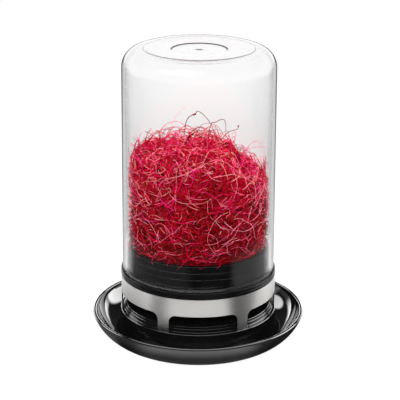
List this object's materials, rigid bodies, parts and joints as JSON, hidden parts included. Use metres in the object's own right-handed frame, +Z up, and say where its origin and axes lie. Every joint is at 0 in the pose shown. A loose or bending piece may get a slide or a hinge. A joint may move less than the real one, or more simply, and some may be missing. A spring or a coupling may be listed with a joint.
{
  "type": "sprouting jar",
  "caption": "Glass sprouting jar standing mouth down on a black sieve lid with an arched steel stand, in a round black drip tray; jar, sieve and lid lift off.",
  "frame": {"origin": "middle of the ring on which the drip tray stands", "axes": "+Z up along the jar's axis, -Y to the front of the picture"},
  "size_m": [0.1426, 0.1426, 0.1981],
  "materials": {
    "tray_plastic": "polished inside, satin outside",
    "steel": "brushed round the band",
    "lid_plastic": "polished",
    "soft_black": "satin",
    "sieve_steel": "plain",
    "glass": "clear",
    "sprouts": "moist stems"
  },
  "bodies": {
    "tray": {"drip_tray": "tray_plastic"},
    "lid": {"stand_band": "steel", "lid_collar": "lid_plastic", "rim_gasket": "soft_black", "plug_seal": "soft_black"},
    "sieve": {"sieve_hoop": "sieve_steel", "sieve_mesh": "sieve_steel", "sprouts": "sprouts"},
    "jar": {"glass_jar": "glass"}
  },
  "joints": [
    {"name": "lid_lift", "type": "slide", "parent": "tray", "child": "lid", "axis": [0, 0, 1], "range_m": [0, 0.03]},
    {"name": "sieve_lift", "type": "slide", "parent": "lid", "child": "sieve", "axis": [0, 0, 1], "range_m": [0, 0.025]},
    {"name": "jar_lift", "type": "slide", "parent": "lid", "child": "jar", "axis": [0, 0, 1], "range_m": [0, 0.11]}
  ]
}
